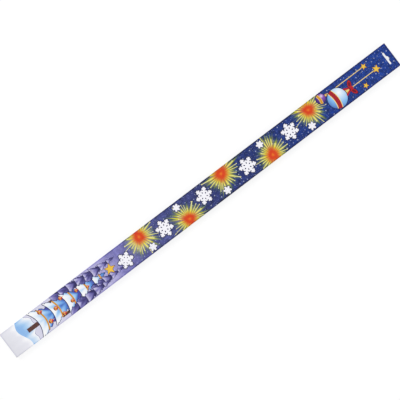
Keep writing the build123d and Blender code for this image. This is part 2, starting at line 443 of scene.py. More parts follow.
@dataclass(frozen=True)
class FirTree:
    """Fir under snow, drawn upwards from its lowest branches.

    Its reach is its height, and its sizes are shares of that.
    """

    tiers: int = 5
    half_width: float = 0.2
    droop: float = 2.0  # how far the tiers hang down at their ends
    taper: float = 0.92  # how much narrower the top tier is
    flare: float = 0.42  # how much narrower the top of each tier is
    trunk_place: float = -0.06
    trunk_half: Pair = (0.026, 0.09)  # half width and half height
    slant: float = 1.7  # of the dapples
    rim: float = 0.009
    brim: float = 0.045  # height of the dark line under each tier, as a share of the tier
    swag: float = 0.05  # half height of the gold swag on each tier, as a share of the tier
    rags: Waves = ((70, 0.0, 0.006), (113, 1.0, 0.006), (181, 2.0, 0.005))
    dapples: Waves = ((23, 0.0, 0.14), (41, 1.0, 0.12))
    snow: Stops = (
        (0.0, "FFFFFF"),
        (0.25, "E9F3FE"),
        (0.5, "A5D0F8"),
        (0.8, "5F95DE"),
        (1.0, "4B4FA6"),
    )
    rim_ink: str = "1E2458"
    gold: str = "D6982F"
    bark: str = "5C3A34"

    def draw(self) -> NodeTree:
        """Draws the fir as a node group."""
        canvas = Canvas("snowy_fir")
        add, calc, mix = canvas.add, canvas.calc, canvas.mix
        _, up, side = canvas.scaled()

        # Tiers that hang down at their ends and narrow to the top
        bow = calc("MULTIPLY", side, side)
        hang = calc("MULTIPLY_ADD", bow, self.droop, up)
        stacked = calc("MULTIPLY", hang, float(self.tiers))
        tier = calc("FRACT", stacked)
        taper = calc("MULTIPLY_ADD", hang, -self.taper, 1.0)
        flare = calc("MULTIPLY_ADD", tier, -self.flare, 1.0)
        spread = calc("MULTIPLY", taper, flare)
        width = calc("MULTIPLY", spread, self.half_width)
        ragged = canvas.ripple(up, self.rags)
        inside = calc("SUBTRACT", width, side)
        depth = calc("ADD", inside, ragged)
        grown = calc("GREATER_THAN", depth, 0.0)
        low = calc("GREATER_THAN", hang, 0.0)
        high = calc("LESS_THAN", hang, 1.0)
        between = calc("MULTIPLY", low, high)
        crown = calc("MULTIPLY", grown, between)

        # Snow that shades to blue under each tier, with a gold swag and a dark rim
        slant = calc("MULTIPLY_ADD", side, self.slant, up)
        dapple = canvas.ripple(slant, self.dapples)
        snow = add("ValToRGB", calc("ADD", dapple, tier), stops=self.snow)
        swagged = calc("COMPARE", tier, 0.5, self.swag)
        trimmed = mix(swagged, snow, self.gold)
        edge = calc("LESS_THAN", depth, self.rim)
        brim = calc("LESS_THAN", tier, self.brim)
        outline = calc("MAXIMUM", edge, brim)
        leafy = mix(outline, trimmed, self.rim_ink)

        # Trunk below the crown
        stem = calc("LESS_THAN", side, self.trunk_half[0])
        foot = calc("COMPARE", up, self.trunk_place, self.trunk_half[1])
        trunk = calc("MULTIPLY", stem, foot)
        ink = mix(crown, self.bark, leafy)
        return canvas.close(ink, calc("MAXIMUM", crown, trunk))


@dataclass(frozen=True)
class GlassBall:
    """Hanging glass ball with a gold cap. Its reach is its radius, and its sizes are in radii."""

    glass: Stops
    band: str
    cord: float = 0.0  # top of the hanging cord
    cord_width: float = 0.035  # half width of the cord
    shine: Triple = (0.4, 0.36, 0.0)  # brightest place on the glass
    band_place: float = -0.12
    band_half: float = 0.2
    piping_half: float = 0.27  # half width of the band with its piping
    band_bow: float = 0.22
    rim_from: float = 0.94
    cap_place: float = 1.12
    cap_half: Pair = (0.26, 0.17)  # half width and half height
    ring: Pair = (1.44, 0.14)  # place and radius
    ring_half: float = 0.05
    cord_from: float = 1.56  # where the cord starts, above the ring
    shade_span: float = 1.6  # over which the glass shades from its brightest place
    gold_span: float = 0.25  # over which the metal shades, out from the middle
    gold: Stops = ((0.0, "F7DE8C"), (0.5, "D9A441"), (1.0, "8A5A24"))
    rim: str = "171C4C"

    def draw(self) -> NodeTree:
        """Draws the ball as a node group."""
        canvas = Canvas("glass_ball")
        add, calc, vector, mix = canvas.add, canvas.calc, canvas.vector, canvas.mix
        place, up, side = canvas.scaled()

        # Glass lit from one side, with a piped band and a dark rim
        span = vector("LENGTH", place)
        lit = vector("DISTANCE", place, self.shine)
        shade = calc("MULTIPLY", lit, 1 / self.shade_span)
        glass = add("ValToRGB", shade, stops=self.glass)
        bow = calc("MULTIPLY", side, side)
        level = calc("MULTIPLY_ADD", bow, self.band_bow, up)
        banded = calc("COMPARE", level, self.band_place, self.band_half)
        piped = calc("COMPARE", level, self.band_place, self.piping_half)
        piping = mix(piped, glass, self.gold[0][1])
        body = mix(banded, piping, self.band)
        edge = calc("GREATER_THAN", span, self.rim_from)
        ball = mix(edge, body, self.rim)

        # Gold cap, ring and cord
        narrow = calc("LESS_THAN", side, self.cap_half[0])
        flat = calc("COMPARE", up, self.cap_place, self.cap_half[1])
        cap = calc("MULTIPLY", narrow, flat)
        eye = vector("DISTANCE", place, (self.ring[0], 0.0, 0.0))
        ring = calc("COMPARE", eye, self.ring[1], self.ring_half)
        over = calc("GREATER_THAN", up, self.cord_from)
        under = calc("LESS_THAN", up, self.cord)
        hung = calc("MULTIPLY", over, under)
        slim = calc("LESS_THAN", side, self.cord_width)
        cord = calc("MULTIPLY", slim, hung)
        fitting = calc("MAXIMUM", cap, ring)
        metal = calc("MAXIMUM", fitting, cord)
        turned = calc("MULTIPLY", side, 1 / self.gold_span)
        gold = add("ValToRGB", turned, stops=self.gold)
        blown = calc("LESS_THAN", span, 1.0)
        ink = mix(blown, gold, ball)
        return canvas.close(ink, calc("MAXIMUM", blown, metal))


@dataclass(frozen=True)
class RibbonBow:
    """Tied ribbon with two loops and two tails.

    Its reach is half its span, and its sizes are in reaches.
    """

    loop_place: float = 0.5  # middle of a loop, out from the knot
    loop_half: Pair = (0.5, 0.3)  # half width and half height
    loop_rise: float = 0.35
    hollow_share: float = 0.5  # of the loop
    rim_from: float = 0.84
    knot_radius: float = 0.2
    tail_place: float = -0.52
    tail_half: Pair = (0.11, 0.5)  # half width and half height
    tail_spread: float = 0.42
    ribbon: str = "B81A2B"
    hollow: str = "6E0E20"
    rim: str = "33081A"

    def draw(self) -> NodeTree:
        """Draws the bow as a node group."""
        canvas = Canvas("ribbon_bow")
        add, calc, vector, mix = canvas.add, canvas.calc, canvas.vector, canvas.mix
        place, up, side = canvas.scaled()

        # Two loops with hollows, and the knot
        out = calc("SUBTRACT", side, self.loop_place)
        rise = calc("MULTIPLY_ADD", out, -self.loop_rise, up)
        from_loop = add("CombineXYZ", rise, out)
        stretch = (1 / self.loop_half[1], 1 / self.loop_half[0], 1.0)
        stretched = vector("MULTIPLY", from_loop, stretch)
        loop_span = vector("LENGTH", stretched)
        loop = calc("LESS_THAN", loop_span, 1.0)
        hollow = calc("LESS_THAN", loop_span, self.hollow_share)
        knot_span = vector("LENGTH", place)
        knot = calc("LESS_THAN", knot_span, self.knot_radius)

        # Two tails that spread downwards
        lean = calc("MULTIPLY_ADD", up, self.tail_spread, side)
        slim = calc("COMPARE", lean, 0.0, self.tail_half[0])
        near = calc("COMPARE", up, self.tail_place, self.tail_half[1])
        tail = calc("MULTIPLY", slim, near)

        edge = calc("GREATER_THAN", loop_span, self.rim_from)
        rimmed = calc("MULTIPLY", edge, loop)
        cloth = mix(rimmed, self.ribbon, self.rim)
        looped = mix(hollow, cloth, self.hollow)
        ink = mix(knot, looped, self.ribbon)
        tied = calc("MAXIMUM", loop, knot)
        return canvas.close(ink, calc("MAXIMUM", tied, tail))


@dataclass(frozen=True)
class SnowField:
    """Two drifts of snow over the foot. Its reach is the height of the far one."""

    far: Stops = ((0.0, "FBFCFF"), (0.25, "DDEBFB"), (0.7, "A9D0F6"), (1.0, "93BEEF"))
    near: Stops = ((0.0, "FCFCFF"), (0.3, "ECECF4"), (1.0, "E4E4EC"))
    rim: str = "5661A0"
    rim_mm: float = 0.5
    near_height: float = 0.58  # of the far drift's
    fade_mm: Pair = (20.0, 24.0)  # depth over which the far and the near drift shade
    far_crest: Waves = ((0.15, 0.8, 4.5), (0.41, 2.0, 1.6))
    near_crest: Waves = ((0.12, 3.6, 4.5),)
    dapples: Waves = ((0.23, 1.0, 0.1), (0.52, 2.4, 0.07))

    def draw(self) -> NodeTree:
        """Draws the drifts as a node group."""
        canvas = Canvas("snow_field")
        add, calc, mix = canvas.add, canvas.calc, canvas.mix
        low = calc("MULTIPLY", canvas.reach, self.near_height)
        dapple = canvas.ripple(canvas.side, self.dapples)
        depths, drifts = [], []
        for waves, base, fade, stops in (
            (self.far_crest, canvas.reach, self.fade_mm[0], self.far),
            (self.near_crest, low, self.fade_mm[1], self.near),
        ):
            crest = calc("ADD", canvas.ripple(canvas.side, waves), base)
            depth = calc("SUBTRACT", crest, canvas.up)
            shade = calc("MULTIPLY_ADD", depth, 1 / fade, dapple)
            depths.append(depth)
            drifts.append(add("ValToRGB", shade, stops=stops))
        in_near = calc("GREATER_THAN", depths[1], 0.0)
        snow = mix(in_near, *drifts)
        edge = calc("LESS_THAN", depths[0], self.rim_mm)
        ink = mix(edge, snow, self.rim)
        return canvas.close(ink, calc("GREATER_THAN", depths[0], 0.0))


@dataclass(frozen=True)
class NightSky:
    """Dusk over the foot that deepens to a mottled night at the hang tab, with falling snow."""

    dusk: Stops = (
        (0.0, "E6E6EF"),
        (0.09, "DBDAEC"),
        (0.19, "C6C2E5"),
        (0.25, "ABA6D8"),
        (0.29, "7C79B8"),
        (0.33, "5C5C9C"),
        (0.39, "484E88"),
        (0.5, "2F3771"),
        (0.64, "1E3070"),
        (0.8, "153480"),
        (1.0, "11378A"),
    )
    cloud_mm: float = 38.0
    cloud_shift: float = 0.06  # how far clouds push the dusk up or down, as a share of the packet
    mottle_mm: float = 6.0
    mottle: Pair = (0.36, 1.6)  # darkest and brightest share of the sky's colour
    night_mm: Pair = (150.0, 270.0)  # where the mottle and the snow set in, from the foot
    # Spacing and largest radius of the flakes in mm, and their strength
    flakes: tuple[Triple, ...] = ((7.0, 1.5, 0.72), (2.8, 0.75, 0.34))
    flake: str = "DDE6FA"

    def draw(self) -> NodeTree:
        """Draws the sky as a node group, whose reach is not used."""
        canvas = Canvas("night_sky")
        add, calc, vector, mix = canvas.add, canvas.calc, canvas.vector, canvas.mix
        cloud = add("TexNoise", canvas.offset, 1 / self.cloud_mm, 3.0)
        shift = self.cloud_shift
        drift = calc("MULTIPLY_ADD", cloud, 2 * shift, -shift)
        height = calc("MULTIPLY_ADD", canvas.up, 1 / PACK_LENGTH, drift)
        sky = add("ValToRGB", height, stops=self.dusk)
        mottle = add("TexNoise", canvas.offset, 1 / self.mottle_mm, 4.0, 0.7)
        dapple = add("MapRange", mottle, *NOISE_SPAN, *self.mottle)
        dappled = vector("SCALE", sky, dapple)
        night = add("MapRange", canvas.up, *self.night_mm)
        ink = mix(night, sky, dappled)
        for spacing, radius, strength in self.flakes:
            fall = add("TexVoronoi", canvas.offset, 1 / spacing, voronoi_dimensions="2D")
            cells = fall.node.outputs
            gap = calc("MULTIPLY", cells["Distance"], spacing)
            pick = add("SeparateColor", cells["Color"])
            size = calc("MULTIPLY", pick, radius)
            fallen = add("MapRange", gap, 0.0, size, 1.0, 0.0, interpolation_type="SMOOTHSTEP")
            bright = calc("MULTIPLY", night, strength)
            shown = calc("MULTIPLY", fallen, bright)
            ink = mix(shown, ink, self.flake)
        everywhere = calc("GREATER_THAN", night, -1.0)
        return canvas.close(ink, everywhere)


@dataclass(frozen=True)
class Spot:
    """One motif's place on the blank."""

    along: float  # mm from the foot
    across: float  # mm from the middle of the front
    reach: float
    turn: float = 0.0  # degrees


@dataclass(frozen=True)
class WinterPrint:
    """Offset print of a winter night on the flat blank."""

    bursts: tuple[Spot, ...] = (
        Spot(254, 12, 29),
        Spot(332, -13, 28, 11),
        Spot(412, 13, 30, 5),
        Spot(494, -12, 29, 17),
        Spot(580, 10, 28, 3),
    )
    crystals: tuple[Spot, ...] = (
        Spot(217, -4, 12.5, 10),
        Spot(293, -1, 14, 22),
        Spot(371, 2, 13.5, 4),
        Spot(452, -2, 14, 15),
        Spot(537, 1, 14, 27),
    )
    flurries: tuple[Spot, ...] = (
        Spot(262, -13, 6.5, 18),
        Spot(326, 13, 6, 6),
        Spot(405, -13, 6.5, 24),
        Spot(487, 13, 6, 12),
        Spot(570, -13, 6.5, 2),
    )
    watermarks: tuple[Spot, ...] = (
        Spot(205, -46, 15, 8),
        Spot(300, -59, 19, 20),
        Spot(395, -47, 14, 2),
        Spot(480, -60, 17, 14),
        Spot(570, -48, 19, 25),
        Spot(655, -58, 14, 11),
    )
    firs: tuple[Spot, ...] = (
        Spot(92, 15, 74),
        Spot(104, -14, 80),
        Spot(136, 11, 70),
        Spot(148, -10, 62),
    )
    stars: tuple[Spot, ...] = (
        Spot(190, 0, 8.5),
        Spot(705, -3, 6.5, 20),
        Spot(691, 12, 5, 50),
        Spot(676, -14, 4.5, 33),
    )
    berries: tuple[Spot, ...] = (
        Spot(67, 12, 3.6),
        Spot(73, -9, 3.6),
        Spot(90, 2, 3.4),
        Spot(96, -12, 3.2),
        Spot(104, 10, 3.2),
        Spot(117, -4, 3.1),
        Spot(130, 5, 2.8),
        Spot(147, -1, 2.5),
    )

    def draw(self) -> NodeTree:
        """Draws the whole blank as a node group.

        Returns:
            A group that takes a place and gives the ink there.
        """
        canvas = Canvas("winter_print")
        ice = ((0.0, "FDFEFF"), (0.22, "D6EAFC"), (0.6, "86BEF2"), (1.0, "2F55AC"))
        ruby = ((0.0, "FFD9C8"), (0.25, "DD3A2B"), (0.7, "A61828"), (1.0, "5E0C20"))
        plum = ((0.0, "F1DDF4"), (0.25, "8E55B4"), (0.7, "4A2A82"), (1.0, "28164C"))
        dim = ((0.0, "C9C5E8"), (0.3, "8B86C2"), (0.6, "575292"), (1.0, "302C60"))
        layers = (
            (GoldStar(), self.stars),
            (RibbonBow(), (Spot(656, -3, 13),)),
            (GlassBall(ice, band="A81E2C", cord=4.6), (Spot(628, -3, 17),)),
            (GlassBall(plum, band="D6982F", cord=9.6, cord_width=0.07), (Spot(606, 12, 8.5),)),
            (GlassBall(ruby, band="D6982F"), self.berries),
            (FirTree(), (Spot(56, 0, 128),)),
            (SnowField(), (Spot(0, 0, 48),)),
            (FirTree(swag=0.0, snow=dim, rim_ink="262250"), self.firs),
            (SnowCrystal(), self.crystals),
            (SnowCrystal(arm_mm=0.95, twig_mm=0.7, rim_mm=0.7), self.flurries),
            (SparkBurst(), self.bursts),
            (SnowCrystal(rim_mm=0.0, ink="35489C", rim="35489C"), self.watermarks),
            (NightSky(), (Spot(0, 0, 1),)),
        )
        # From the top layer down, each motif adds its ink where the ones above leave room
        ink: Input = (0.0, 0.0, 0.0, 1.0)
        room: Input = 1.0
        for motif, spots in layers:
            group = motif.draw()
            for spot in spots:
                place = (spot.along, spot.across, 0.0)
                turn = radians(spot.turn)
                drawn = canvas.add("Group", canvas.offset, place, spot.reach, turn, node_tree=group)
                cover = drawn.node.outputs["Cover"]
                share = canvas.calc("MULTIPLY", room, cover)
                ink = canvas.add("Mix", share, ink, drawn, data_type="RGBA", blend_type="ADD")
                room = canvas.calc("SUBTRACT", room, share)
        return canvas.close(ink, room)


class BlankLay(Enum):
    """How a piece of board lies in the flat blank, and which of its sides is printed.

    Each value holds the rows that turn (x, y, z, 1) into mm from the foot and mm across, then a
    core point and the axes along which the printed side looks away from it.
    """

    FRONT = ((1, 0, 0, FOOT_MM), (0, 1, 0, 0), (0, 0, MID_MM), (0, 0, 1))
    RIGHT_WALL = ((1, 0, 0, FOOT_MM), (0, 1, 1, -PACK_DEPTH), (0, 0, MID_MM), (0, 1, 1))
    LEFT_WALL = ((1, 0, 0, FOOT_MM), (0, 1, -1, PACK_DEPTH), (0, 0, MID_MM), (0, 1, 0))
    BACK = ((1, 0, 0, FOOT_MM), (0, -1, 0, BACK_MM), (0, 0, MID_MM), (0, 0, 1))
    SEAM = ((1, 0, 0, FOOT_MM), (0, -1, -1, BACK_MM), (0, 0, MID_MM), (0, 1, 1))
    TAB_FRONT = ((1, 0, 0, FOOT_MM), (0, 1, 0, 0), (0, 0, PLY_MM), (0, 0, 1))
    TAB_REAR = ((-1, 0, 0, 3 * FOOT_MM), (0, 1, 0, 0), (0, 0, PLY_MM), (0, 0, 1))
    TUCK = ((0, 0, 1, -PACK_DEPTH), (0, 1, 0, 0), (INSIDE_MM, 0, 0), (1, 0, 0))
    TONGUE = ((-1, 0, 0, -FOOT_MM - TUCK_MM), (0, 1, 0, 0), (-FOOT_MM, 0, PACK_DEPTH), (1, 0, 1))
    DUST = ((0, 0, 0, -DUST_MM), (0, 1, 1, 0), (INSIDE_MM, 0, 0), (1, 0, 0))


@dataclass(frozen=True)
class PrintedBoard:
    """Folding boxboard, offset printed and varnished outside, bare grey pulp inside.

    The varnish gives a soft gloss over slow waves in the board. The bare side shows matt fibres
    and flecks, cut edges show the pale core, ink is rubbed thin along the folds, and a thin line of
    painted shade darkens the ink beside each fold.
    """

    pulp: Stops = ((0.3, "B5AFA3"), (0.7, "CEC9BE"))
    core: Stops = ((0.3, "D2CEC5"), (0.7, "EAE7E0"))
    fleck: str = "8C8478"
    rubbed: str = "E9E6E4"
    varnish_roughness: Pair = (0.29, 0.41)
    rub_roughness: float = 0.5  # how much rougher a fully rubbed ridge is
    pulp_roughness: float = 0.88
    cut_limit: float = 0.02  # a face that looks neither away from the core nor at it is a cut edge
    ior: float = 1.5
    specular: float = 0.22
    fold_turn_mm: float = 0.3  # from a panel's edge to the middle of its rounded fold, on the blank
    fold_shade_mm: Pair = (1.1, 2.5)  # from the fold, where the painted shade beside it starts to fade and where it ends
    ridge_mm: Pair = (0.25, 0.95)  # where the rubbed ridge starts to thin out and where it ends
    rub: float = 0.35  # most of the ink that is rubbed off a ridge
    rub_span: Pair = (0.52, 0.75)  # noise where the rub sets in and where it is full
    patch_mm: float = 5.0
    patch_span: Pair = (0.25, 0.75)  # noise of the palest and of the deepest ink
    smear_mm: float = 30.0  # patches of duller varnish
    fleck_gap_mm: float = 4.5
    fleck_size: float = 0.085  # of the gap
    ink_spread: float = 0.09  # how much the ink's depth varies from place to place
    fold_shade_depth: float = 0.6  # how much the painted shade darkens the ink beside each fold
    wave_mm: float = 85.0  # length of the board's slow waves
    wave_depth_mm: float = 0.16
    fibre_mm: float = 1.6  # width of the pulp's fibres, drawn coarse enough to show
    fibre_squeeze: float = 0.35  # width of a fibre as a share of its length along the packet
    grain_mm: float = 0.5  # paper grain under the varnish, drawn coarse enough to show
    grain_share: float = 0.25  # of the relief of the bare fibres
    relief_mm: float = 0.03
    relief_strength: float = 0.35

    def material(self, lay: BlankLay, print_group: NodeTree) -> Material:
        """Makes the board's material for one piece.

        Args:
            lay: how the piece lies in the blank.
            print_group: the print on the blank.

        Returns:
            The material.
        """
        along_row, across_row, core_point, axes = lay.value
        made, net = open_material(f"printed_boxboard_{lay.name.lower()}")
        add, calc, vector, mix = net.add, net.calc, net.vector, net.mix
        place = net.place_mm()

        # Place on the blank
        along = vector("DOT_PRODUCT", place, along_row[:3])
        across = vector("DOT_PRODUCT", place, across_row[:3])
        shift = (float(along_row[3]), float(across_row[3]), 0.0)
        spot = vector("ADD", add("CombineXYZ", along, across), shift)

        # Printed side, bare side and cut edge
        arm = vector("SUBTRACT", place, core_point)
        away = vector("MULTIPLY", arm, axes)
        outward = vector("DOT_PRODUCT", away, add("TexCoord").node.outputs["Normal"])
        printed = calc("GREATER_THAN", outward, self.cut_limit)
        bare = calc("LESS_THAN", outward, -self.cut_limit)

        # Ink that lies a little unevenly, with painted shade beside each fold, and rubbed thin on
        # its ridge
        ink = add("Group", spot, (0.0, 0.0, 0.0), 1.0, 0.0, node_tree=print_group)
        sides = add("SeparateXYZ", spot).node.outputs
        long_fold = PACK_WIDTH / 2 + self.fold_turn_mm
        back_fold = PACK_WIDTH / 2 + PACK_DEPTH - self.fold_turn_mm
        fold: Input = PACK_LENGTH
        for axis, at in (
            ("Y", long_fold),
            ("Y", -long_fold),
            ("Y", -back_fold),
            ("X", 0.0),
            ("X", PACK_LENGTH),
        ):
            off = calc("ABSOLUTE", calc("SUBTRACT", sides[axis], at))
            fold = calc("MINIMUM", off, fold)
        # Painted shade: a thin darker line in the ink beside each fold, where the rounded fold
        # turns from the light
        fold_shade = add("MapRange", fold, *self.fold_shade_mm, 1.0 + self.fold_shade_depth, 1.0)
        patch = add("TexNoise", place, 1 / self.patch_mm, 4.0, 0.65)
        uneven = add("MapRange", patch, *self.patch_span, -self.ink_spread, self.ink_spread)
        uneven_and_fold_shaded = add("Gamma", ink, calc("ADD", fold_shade, uneven))
        ridge = add("MapRange", fold, *self.ridge_mm, 1.0, 0.0)
        thin = add("MapRange", patch, *self.rub_span, 0.0, self.rub)
        worn = calc("MULTIPLY", ridge, thin)
        outside = mix(worn, uneven_and_fold_shaded, self.rubbed)

        # Pulp with fibres and flecks
        squeeze = (self.fibre_squeeze, 1.0, 1.0)
        stretched = vector("MULTIPLY", place, squeeze)
        fibre = add("TexNoise", stretched, 1 / self.fibre_mm, 4.0, 0.6)
        pulp = add("ValToRGB", fibre, stops=self.pulp)
        cut = add("ValToRGB", fibre, stops=self.core)
        bits = add("TexVoronoi", stretched, 1 / self.fleck_gap_mm)
        speck = calc("LESS_THAN", bits, self.fleck_size)
        inside = mix(speck, pulp, self.fleck)
        unprinted = mix(bare, cut, inside)
        base = mix(printed, unprinted, outside)

        # Gloss and relief
        smear = add("TexNoise", place, 1 / self.smear_mm, 3.0)
        sheen = add("MapRange", smear, *NOISE_SPAN, *self.varnish_roughness)
        dull = calc("MULTIPLY_ADD", worn, self.rub_roughness, sheen)
        rough = add("Mix", printed, self.pulp_roughness, dull, data_type="FLOAT")
        wave = add("TexNoise", place, 1 / self.wave_mm, 1.0)
        waved = add("Bump", 1.0, self.wave_depth_mm * MM, named={"Height": wave})
        grain = add("TexNoise", place, 1 / self.grain_mm, 2.0)
        faint = calc("MULTIPLY", grain, self.grain_share)
        relief = add("Mix", printed, fibre, faint, data_type="FLOAT")
        depth = self.relief_mm * MM
        normal = add("Bump", self.relief_strength, depth, named={"Height": relief, "Normal": waved})
        board = add(
            "BsdfPrincipled",
            base,
            0.0,
            rough,
            self.ior,
            named={"Normal": normal, "Specular IOR Level": self.specular},
        )
        add("OutputMaterial", board)
        return made


@dataclass(frozen=True)
class DrawnSteel:
    """Cold drawn mild steel wire: dull bright, with fine die lines along it and faint oxide."""

    bright: str = "9A9894"
    oxide: str = "645C54"
    line_mm: float = 0.35  # width of a die line, drawn coarse enough to show
    line_length_mm: float = 40.0
    patch_mm: float = 14.0  # patches of oxide
    patch_span: Pair = (0.48, 0.72)  # noise at the rim of a patch and where it is full
    patch_share: float = 0.6  # most of the bright metal that a patch hides
    patch_roughness: float = 0.25  # how much rougher a full patch is
    relief_mm: float = 0.02
    relief_strength: float = 0.4
    gloss: Pair = (0.26, 0.44)  # roughness along the die lines

    def material(self) -> Material:
        """Makes the wire's material."""
        made, net = open_material("drawn_steel_wire")
        add, calc, vector, mix = net.add, net.calc, net.vector, net.mix
        place = net.place_mm()
        squeeze = (self.line_mm / self.line_length_mm, 1.0, 1.0)
        drawn = vector("MULTIPLY", place, squeeze)
        lines = add("TexNoise", drawn, 1 / self.line_mm, 3.0)
        patches = add("TexNoise", place, 1 / self.patch_mm, 4.0, 0.6)
        dulled = add("MapRange", patches, *self.patch_span, 0.0, self.patch_share)
        base = mix(dulled, self.bright, self.oxide)
        gloss = add("MapRange", lines, *NOISE_SPAN, *self.gloss)
        rough = calc("MULTIPLY_ADD", dulled, self.patch_roughness, gloss)
        normal = add("Bump", self.relief_strength, self.relief_mm * MM, named={"Height": lines})
        steel = add("BsdfPrincipled", base, 1.0, rough, named={"Normal": normal})
        add("OutputMaterial", steel)
        return made


@dataclass(frozen=True)
class DippedComposition:
    """Dried sparkler slurry: a matt grey crust of iron and aluminium grains in binder.

    The eye gets a dark, grainy crust with single bright flakes of metal.
    """

    crust: Stops = ((0.25, "474647"), (0.55, "656465"), (0.8, "838282"))
    flake: str = "BDBEC1"
    grain_mm: float = 0.5
    lump_mm: float = 2.6
    grain_tone: float = 0.22  # share of the tone that differs from grain to grain
    grain_dome: float = 0.6  # how much of the relief the grains make beside the lumps
    relief_mm: float = 0.35
    relief_strength: float = 0.8
    flake_share: float = 0.93  # grains whose chance is above this are bright
    dull: float = 0.9  # roughness of the crust and of its bright flakes
    glint: float = 0.36

    def material(self) -> Material:
        """Makes the crust's material."""
        made, net = open_material("dipped_sparkler_composition")
        add, calc, mix = net.add, net.calc, net.mix
        place = net.place_mm()
        cells = add("TexVoronoi", place, 1 / self.grain_mm).node.outputs
        chance = add("SeparateColor", cells["Color"])
        lumps = add("TexNoise", place, 1 / self.lump_mm, 4.0, 0.6)
        uneven = calc("MULTIPLY", lumps, 1 - self.grain_tone)
        tone = calc("MULTIPLY_ADD", chance, self.grain_tone, uneven)
        crust = add("ValToRGB", tone, stops=self.crust)
        flake = calc("GREATER_THAN", chance, self.flake_share)
        base = mix(flake, crust, self.flake)
        rough = add("Mix", flake, self.dull, self.glint, data_type="FLOAT")
        dome = calc("MULTIPLY_ADD", cells["Distance"], -self.grain_dome, lumps)
        normal = add("Bump", self.relief_strength, self.relief_mm * MM, named={"Height": dome})
        coat = add("BsdfPrincipled", base, flake, rough, named={"Normal": normal})
        add("OutputMaterial", coat)
        return made


@dataclass(frozen=True)
class TableTop:
    """Matt white table that shows white to the camera and keeps the packet's shadow."""

    paint: str = "F2F2F2"
    lift: float = 0.75  # share of plain white that the camera and mirrors see
    white: float = 1.08  # level of that white, which makes up for the paint's grey
    seat_mm: float = 2.0  # bounced light passes this close to it, so the packet's back is lit

    def material(self) -> Material:
        """Makes the table's material."""
        made, net = open_material("matt_white_table")
        add, calc = net.add, net.calc
        seen = net.seen_directly()
        paint = add("BsdfDiffuse", self.paint)
        share = calc("MULTIPLY", seen, self.lift)
        white = add("Emission", "FFFFFF", self.white)
        top = add("MixShader", share, paint, white)
        rays = add("LightPath").node.outputs
        near = calc("LESS_THAN", rays["Ray Length"], self.seat_mm * MM)
        bounced = calc("MULTIPLY", rays["Is Diffuse Ray"], near)
        below = add("NewGeometry").node.outputs["Backfacing"]
        clear = calc("MAXIMUM", below, bounced)
        add("OutputMaterial", add("MixShader", clear, top, add("BsdfTransparent")))
        return made


@dataclass
class Carton:
    """Folded carton: front, walls, back, seam and the two plies of the hang tab."""

    board: PrintedBoard
    print_group: NodeTree

    def dress(self) -> None:
        """Gives every piece of the tube and the tab its board."""
        lays = {
            "front_panel": BlankLay.FRONT,
            "side_wall_right": BlankLay.RIGHT_WALL,
            "side_wall_left": BlankLay.LEFT_WALL,
            "back_panel": BlankLay.BACK,
            "seam_flap": BlankLay.SEAM,
            "hang_tab_front_ply": BlankLay.TAB_FRONT,
            "hang_tab_rear_ply": BlankLay.TAB_REAR,
        }
        for node, lay in lays.items():
            dress_node(node, self.board.material(lay, self.print_group))


@dataclass
class FootClosure:
    """Tuck flap, its bowed tongue and the two dust flaps."""

    board: PrintedBoard
    print_group: NodeTree

    def dress(self) -> None:
        """Gives the flaps their board."""
        dust = self.board.material(BlankLay.DUST, self.print_group)
        dress_node("tuck_flap_panel", self.board.material(BlankLay.TUCK, self.print_group))
        dress_node("tuck_tongue", self.board.material(BlankLay.TONGUE, self.print_group))
        dress_node("dust_flap_left", dust)
        dress_node("dust_flap_right", dust)


